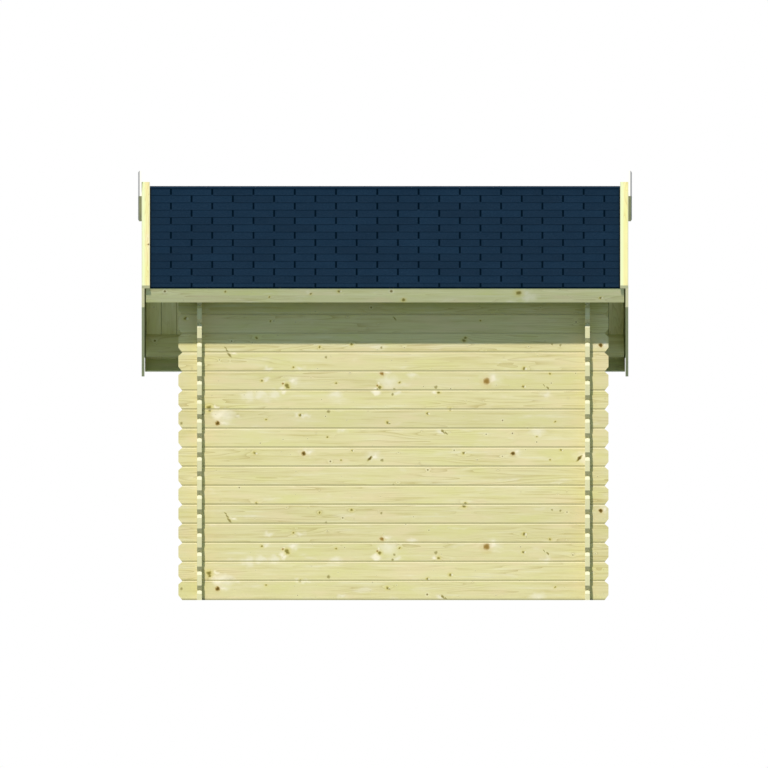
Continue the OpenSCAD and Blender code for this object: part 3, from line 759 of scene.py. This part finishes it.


# The marks that catch the eye on the tall side wall: along, height and radius in metres
TALL_WALL_MARKS = Marks(
    brown=(
        (-1.002, 1.060, 0.0148), (-0.487, 0.877, 0.0140), (0.766, 0.877, 0.0134), (1.291, 1.526, 0.0125),
    ),
    warm=(
        (0.608, 1.310, 0.0200), (-0.018, 1.357, 0.0120), (-0.046, 1.284, 0.0055), (-0.612, 1.297, 0.0050),
    ),
    olive=(
        (-0.588, 1.286, 0.0120), (-0.583, 1.275, 0.0090), (0.086, 1.303, 0.0060), (-0.738, 1.313, 0.0062),
        (-0.293, 1.300, 0.0055), (-1.054, 1.153, 0.0130), (-1.050, 1.137, 0.0090), (-0.031, 1.274, 0.0095),
        (0.321, 1.243, 0.0080), (0.472, 1.553, 0.0100), (0.481, 1.571, 0.0070), (0.988, 1.356, 0.0065),
        (-0.391, 1.515, 0.0058), (-0.201, 1.530, 0.0068), (-0.550, 1.393, 0.0056), (-0.343, 0.976, 0.0044),
        (-0.264, 0.839, 0.0046), (0.989, 0.841, 0.0042), (-0.712, 1.080, 0.0052), (0.909, 0.978, 0.0040),
        (-0.768, 1.571, 0.0060), (0.569, 1.672, 0.0040), (-0.686, 1.669, 0.0042), (1.019, 1.068, 0.0050),
    ),
    eyes=(
        (0.016, 1.064, 0.0082), (-0.508, 1.108, 0.0074), (-0.781, 0.881, 0.0078), (0.471, 0.881, 0.0078),
        (-0.196, 0.894, 0.0060), (1.054, 0.898, 0.0060), (0.833, 1.387, 0.0085), (0.828, 1.279, 0.0070),
        (0.255, 1.118, 0.0068), (0.391, 1.143, 0.0082), (-1.195, 1.685, 0.0095),
    ),
    rising=((-0.091, 0.848, 0.0165), (1.163, 0.848, 0.0190)),
    falling=(
        (-0.930, 1.468, 0.0160), (-0.944, 1.492, 0.0110), (-0.956, 1.509, 0.0090), (0.347, 1.010, 0.0140),
        (0.366, 0.998, 0.0110), (0.057, 1.686, 0.0125), (0.973, 1.270, 0.0090), (0.953, 1.287, 0.0072),
    ),
    faint=(
        (-0.353, 1.455, 0.0090), (0.304, 1.275, 0.0100), (0.056, 1.263, 0.0080), (0.045, 1.231, 0.0080),
        (-0.021, 1.512, 0.0075), (-0.019, 0.838, 0.0090), (0.051, 0.692, 0.0070), (-1.218, 1.057, 0.0085),
        (-0.338, 1.130, 0.0105), (0.026, 1.057, 0.0070), (1.051, 1.526, 0.0070), (0.999, 1.532, 0.0062),
    ),
    bright=(
        (-1.000, 1.112, 0.028), (-1.016, 1.157, 0.010), (-0.609, 1.271, 0.013), (-0.598, 1.251, 0.013),
        (-0.050, 1.246, 0.019), (0.296, 1.246, 0.012), (-0.911, 1.480, 0.012), (-0.554, 1.315, 0.010),
    ),
    pale=(
        (-0.550, 1.315, 0.022), (0.020, 1.306, 0.034), (-0.945, 1.108, 0.026), (-0.885, 1.104, 0.012),
        (0.072, 1.240, 0.018), (0.166, 1.350, 0.017), (-0.693, 1.388, 0.014), (0.330, 1.010, 0.014),
        (-0.508, 1.388, 0.014), (1.198, 0.838, 0.022), (0.909, 1.008, 0.024), (-0.820, 1.222, 0.024),
        (-0.742, 1.231, 0.019), (-0.665, 1.235, 0.021), (0.964, 1.230, 0.018), (-0.293, 1.226, 0.022),
        (-0.254, 1.013, 0.015), (-0.715, 1.322, 0.012), (-0.525, 1.111, 0.009), (-0.478, 1.102, 0.013),
    ),
    again=(0.61, 0.991),
)

# The marks on the fascia of that side, along and across it from its middle
TALL_FASCIA_MARKS = Marks(
    olive=(
        (0.802, 0.017, 0.0150), (0.111, -0.030, 0.0095), (-0.444, 0.010, 0.0055), (-0.955, 0.025, 0.0050),
        (-0.691, -0.011, 0.0050),
    ),
    eyes=((1.292, -0.016, 0.0070), (-0.275, 0.027, 0.0080)),
    pale=((0.832, 0.019, 0.018), (0.862, -0.011, 0.030), (-0.455, 0.018, 0.012)),
)

# And one on its cap board at the front, down the slope and across it
TALL_CAP_MARKS = Marks(brown=((0.812, -1.4105, 0.0130),))

ALONG = (1, 0, 0)
ACROSS = (0, 1, 0)
UP = (0, 0, 1)


def under_fascia(side_name):
    """Painted shade on the logs of a side, from the last joint below the fascia upwards."""
    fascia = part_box("fascia_" + side_name)[0].z
    return painted_eave_shade(math.floor(fascia / LOG_H) * LOG_H, fascia, least=0.35, most=1.0)


def finish_side_walls():
    """The logs run along the walls, and each course is its own stretch of wood."""
    tall = pine("pine_tall_wall", ALONG, UP, (0, TALL_WALL_Y, 0), seed=3, pitch=LOG_H,
                marks=TALL_WALL_MARKS, largest=LARGEST_TALL_WALL_KNOT, over=under_fascia("tall_side"))
    paint(tall, "tall_side_wall", "tall_side_top_log")
    place = (0, LOW_WALL_Y, 0)
    low = pine("pine_low_wall", ALONG, UP, place, seed=41, pitch=LOG_H, over=under_fascia("low_side"))
    paint(low, "low_side_wall")
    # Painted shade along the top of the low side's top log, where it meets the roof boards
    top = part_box("low_side_top_log")[1].z
    shade_tint = painted_eave_shade(top - TOP_LOG_SHADE_REACH, top, least=0.0, most=0.9)
    low_top = pine("pine_low_top_log", ALONG, UP, place, seed=41, pitch=LOG_H, over=shade_tint)
    paint(low_top, "low_side_top_log")


def finish_end_walls():
    """The logs run across the house, half a course up from those of the sides."""
    place = (FRONT_X, 0, LOG_H / 2)
    # The end walls get the painted light and shade of edges_of_logs
    front = pine("pine_front_wall", ACROSS, UP, place, seed=83, pitch=LOG_H, over=edges_of_logs)
    paint(front, "front_base_log", "front_wall_tall_side", "front_wall_low_side", "front_gable")
    place = (BACK_X, 0, LOG_H / 2)
    back = pine("pine_back_wall", ACROSS, UP, place, seed=127, pitch=LOG_H, over=edges_of_logs)
    paint(back, "back_wall", "back_gable")


def finish_purlins():
    """The two purlins lie along the house, each as one piece."""
    purlin = pine("pine_purlins", ALONG, UP, (0, RIDGE_Y, RIDGE_Z), seed=5)
    paint(purlin, "ridge_purlin", "middle_purlin")


def finish_fascia(side_name):
    """The board at the eave of a side, with the grain along the house."""
    side = ROOF_SIDES[side_name]
    low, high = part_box("fascia_" + side_name)
    marks = TALL_FASCIA_MARKS if side == TALL else None
    wood = pine("pine_fascia_" + side_name, ALONG, out_of_slope(side), (low + high) / 2,
                seed=9 + side, tones=TRIM_TONES, marks=marks)
    paint(wood, "fascia_" + side_name)


def finish_roof_edge(end, side_name, seed):
    """A barge board and its cap, with the grain down the slope."""
    side = ROOF_SIDES[side_name]
    place = f"{end}_{side_name.split('_')[0]}"
    # Painted light on the undersides of the barge board
    board = slope_pine("pine_barge_" + place, side, out_of_slope(side), seed=seed, tones=TRIM_TONES,
                       over=lit_undersides)
    paint(board, "barge_board_" + place)
    cap = slope_pine("pine_cap_" + place, side, ALONG, seed=seed + 50, tones=CAP_TONES,
                     marks=TALL_CAP_MARKS if side == TALL else None,
                     over=rim_tints(*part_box("barge_cap_" + place)))
    paint(cap, "barge_cap_" + place)


def finish_trim():
    """The boards at the eaves and gables, and the ornaments, which have upright grain."""
    for side_name, side in ROOF_SIDES.items():
        finish_fascia(side_name)
        finish_roof_edge("front", side_name, 13 + side)
        finish_roof_edge("back", side_name, 17 + side)
    for end, seed in (("front", 21), ("back", 22)):
        low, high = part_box("ornament_" + end)
        outer = low.x if end == "front" else high.x
        ornament = pine("pine_ornament_" + end, UP, ACROSS, (low + high) / 2, seed=seed,
                        tones=TRIM_TONES, over=ornament_light_and_grey(outer))
        paint(ornament, "ornament_" + end)


def finish_door():
    """Upright members, level members, glass and metal of the door."""
    place = (FRONT_X, RIDGE_Y, 0)
    upright = pine("pine_door_upright", UP, ACROSS, place, seed=61, pitch=DOOR_UPRIGHT_PITCH)
    level = pine("pine_door_level", ACROSS, UP, place, seed=67, pitch=DOOR_LEVEL_PITCH)
    paint(upright, "door_jamb_tall_side", "door_jamb_low_side", "door_leaf_left", "door_leaf_right",
          "door_cover_strip", "door_casing")
    paint(level, "door_head", "door_sill")
    paint(window_glass("door_glass"), "door_glass_left", "door_glass_right")
    paint(satin_steel("door_steel"), "door_hinges", "door_handle")


# ---- Roof boards ----

# Boards on each roof side, the bevel of their lower edges, and half the gap between two
BOARD_COUNT = 31
BOARD_BEVEL = 0.003
BOARD_SLACK = 0.0008


def roof_boards(side_name):
    """Boards from ridge to eave, with a V joint between them on the underside."""
    side = ROOF_SIDES[side_name]
    run = deck_run(side_name)
    width = 2 * ROOF_HALF / BOARD_COUNT
    shapes = Shapes()
    for i in range(BOARD_COUNT):
        x0 = -ROOF_HALF + i * width + BOARD_SLACK
        x1 = -ROOF_HALF + (i + 1) * width - BOARD_SLACK
        outline = (
            (x0, 0), (x0, BOARD_BEVEL - DECK_T), (x0 + BOARD_BEVEL, -DECK_T),
            (x1 - BOARD_BEVEL, -DECK_T), (x1, BOARD_BEVEL - DECK_T), (x1, 0),
        )
        shapes.loft(
            [on_slope(side, x, -out * TAN, out) for x, out in outline],
            [on_slope(side, x, run, out) for x, out in outline],
        )
    origin = (ROOF_HALF, RIDGE_Y, RIDGE_Z)
    wood = pine("pine_boards_" + side_name, down_slope(side), ALONG, origin, seed=90 + side, pitch=width)
    boards = shapes.make("roof_boards_" + side_name, wood)
    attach(boards, "root")
    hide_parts("roof_deck_" + side_name)


# ---- Shingles ----

# Rows down the slope, in metres, and how far a tab's head lies under the row above
ROW_H = 0.0967
EAVE_ROW_H = 0.0635
UNDERLAP = 0.012

# Tabs and slits across the slope
TAB_W = 0.2471
NARROWEST_TAB = 0.01
SLIT_W = 0.011
FIRST_SLIT = -1.158

# Thicknesses of the sheet, a tab's lower edge, its head, and the fascia that the shingles cover
SHEET_T = 0.0011
TAB_T = 0.0024
HEAD_T = 0.0004
FASCIA_T = 0.017

# How far the sheet stands out past the fascia, and the gaps from the tabs to the fascia's face and the cap
# boards, and from the sheet and the tabs to the ridge. The dark sheet that shows in the gaps at the eave
# and beside the cap boards is painted shade.
EAVE_EDGE = 0.0018
EAVE_GAP = 0.0105
CAP_GAP = 0.008
RIDGE_GAP = 0.001
TOP_ROW_GAP = 0.004

# How unevenly the tabs lie, down the slope and out of it
LAID_OFF = 0.0008
CURL = 0.0002

# Materials of a tab's bar: its underside, right edge, face, left edge, head and lower edge. The dark felt
# on the lower edge is the bitumen's cut edge and also a painted shadow line.
MINERAL, BLACK = 0, 1
TAB_FINISHES = [BLACK, BLACK, MINERAL, BLACK, BLACK, BLACK]


def bar_ring(side, x0, x1, down, low, top):
    """The four corners of a flat bar across a roof side, at one distance down the slope."""
    return [on_slope(side, x, down, out) for x, out in ((x0, low), (x1, low), (x1, top), (x0, top))]


def shingle_tab(shapes, side, x0, x1, down0, down1, lift):
    """One tab: its head lies under the row above, and its lower edge stands proud."""
    shapes.loft(
        bar_ring(side, x0, x1, down0, SHEET_T, SHEET_T + HEAD_T),
        bar_ring(side, x0, x1, down1, SHEET_T, SHEET_T + TAB_T + lift),
        TAB_FINISHES,
    )


def shingle_row(shapes, side, row, run):
    """One row of square tabs between the cap boards, half a tab along from the row below."""
    down1 = run - EAVE_ROW_H - (row - 1) * ROW_H if row else run - EAVE_GAP
    down0 = max(down1 - (ROW_H if row else EAVE_ROW_H) - UNDERLAP, TOP_ROW_GAP)
    slit = FIRST_SLIT + (row % 2) * TAB_W / 2
    first = math.floor((-ROOF_HALF - slit) / TAB_W)
    for tab in range(first, first + math.ceil(2 * ROOF_HALF / TAB_W) + 2):
        x0 = max(slit + tab * TAB_W + SLIT_W / 2, FRONT_CAP_X + CAP_GAP)
        x1 = min(slit + (tab + 1) * TAB_W - SLIT_W / 2, BACK_CAP_X - CAP_GAP)
        if x1 - x0 > NARROWEST_TAB:
            shift = random.uniform(-LAID_OFF, LAID_OFF) if row else 0
            shingle_tab(shapes, side, x0, x1, down0, down1 + shift, random.uniform(0, CURL))


def shingle_roof(side_name):
    """A black sheet under rows of tabs, laid from the eave up; where it shows between the tabs, it is
    painted shade.
    """
    side = ROOF_SIDES[side_name]
    run = deck_run(side_name) + FASCIA_T
    shapes = Shapes()
    shapes.loft(
        bar_ring(side, -ROOF_HALF, ROOF_HALF, RIDGE_GAP, 0.0, SHEET_T),
        bar_ring(side, -ROOF_HALF, ROOF_HALF, run + EAVE_EDGE, 0.0, SHEET_T),
        [BLACK] * len(TAB_FINISHES),
    )
    for row in range(math.ceil((run - EAVE_ROW_H) / ROW_H) + 1):
        shingle_row(shapes, side, row, run)
    sheet = shapes.make("shingle_rows_" + side_name, SHINGLE, FELT_AND_SHADE)
    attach(sheet, "root")
    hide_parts("shingles_" + side_name)


# ---- Light, floor and camera ----

SUN_WAY = Vector((-0.168, -1.0, 1.005))
SUN_COLOR = (1.0, 0.899, 0.860)
SUN_POWER = 3.237
SUN_ANGLE = math.radians(1.5)
SUN_AWAY = 5.0
SKY_LIGHT = (0.271, 0.352, 0.390)
SKY_SEEN = (1.0, 1.0, 1.0)
FLOOR_BOUNCE = (0.273, 0.352, 0.386)
FLOOR_SEEN = (0.97, 0.97, 0.97)
FLOOR_HALF = 30.0


def seen_directly(tree):
    """1 for what the camera sees, also in metal and through glass, and 0 for light on its way."""
    path = tree.nodes.new("ShaderNodeLightPath")
    seen = path.outputs["Is Camera Ray"]
    for ray in ("Is Glossy Ray", "Is Transmission Ray"):
        add = tree.nodes.new("ShaderNodeMath")
        add.operation = "ADD"
        add.use_clamp = True
        tree.links.new(seen, add.inputs[0])
        tree.links.new(path.outputs[ray], add.inputs[1])
        seen = add.outputs[0]
    return seen


def wire_two_looks(tree, output, shader, unseen, seen):
    """Wires a shader that has one colour for light on its way and another for what the camera sees."""
    tree.nodes.clear()
    out = tree.nodes.new("ShaderNodeOutput" + output)
    mix = tree.nodes.new("ShaderNodeMixShader")
    for i, color in ((1, unseen), (2, seen)):
        look = tree.nodes.new("ShaderNode" + shader)
        look.inputs["Color"].default_value = (*color, 1)
        tree.links.new(look.outputs[0], mix.inputs[i])
    tree.links.new(seen_directly(tree), mix.inputs[0])
    tree.links.new(mix.outputs[0], out.inputs[0])


def make_sky():
    """A white background over a quiet blue-grey light."""
    world = bpy.data.worlds.new("studio")
    bpy.context.scene.world = world
    world.use_nodes = True
    wire_two_looks(world.node_tree, "World", "Background", SKY_LIGHT, SKY_SEEN)


def make_floor():
    """A pale floor that keeps the shadow of the house."""
    corners = [(x * FLOOR_HALF, y * FLOOR_HALF, 0) for x, y in ((-1, -1), (1, -1), (1, 1), (-1, 1))]
    floor = make_mesh("floor", corners, [(0, 1, 2, 3)])
    material = bpy.data.materials.new("pale_floor")
    material.use_nodes = True
    wire_two_looks(material.node_tree, "Material", "BsdfDiffuse", FLOOR_BOUNCE, FLOOR_SEEN)
    floor.data.materials.append(material)


def make_sun():
    """A sun behind the camera and a little to its left, about 45 degrees up."""
    lamp = bpy.data.lights.new("sun", "SUN")
    lamp.energy = SUN_POWER
    lamp.color = SUN_COLOR
    lamp.angle = SUN_ANGLE
    sun = bpy.data.objects.new("sun", lamp)
    bpy.context.scene.collection.objects.link(sun)
    sun.rotation_euler = SUN_WAY.to_track_quat("Z", "Y").to_euler()
    sun.location = SUN_WAY * SUN_AWAY


# The width of the view, its middle, and how far off the camera stands
VIEW_WIDTH = 4.598
VIEW_X = -0.006
VIEW_Z = 1.2938
VIEW_AWAY = 9.0


def make_camera():
    """A level camera without perspective, square on to the tall side wall."""
    data = bpy.data.cameras.new("camera")
    data.type = "ORTHO"
    data.ortho_scale = VIEW_WIDTH
    camera = bpy.data.objects.new("camera", data)
    bpy.context.scene.collection.objects.link(camera)
    camera.location = (VIEW_X, -VIEW_AWAY, VIEW_Z)
    camera.rotation_euler = (math.radians(90), 0, 0)
    bpy.context.scene.camera = camera


# ---- The scene ----

make_camera()
SHINGLE = bitumen("slate_blue_shingle")
FELT_AND_SHADE = dark_felt_and_shade("dark_felt_and_shade")
finish_side_walls()
finish_end_walls()
finish_purlins()
finish_trim()
finish_door()
paint(SHINGLE, "ridge_strip")
for side_name in ROOF_SIDES:
    roof_boards(side_name)
    shingle_roof(side_name)
make_sky()
make_floor()
make_sun()
bpy.context.scene.view_settings.view_transform = "Standard"
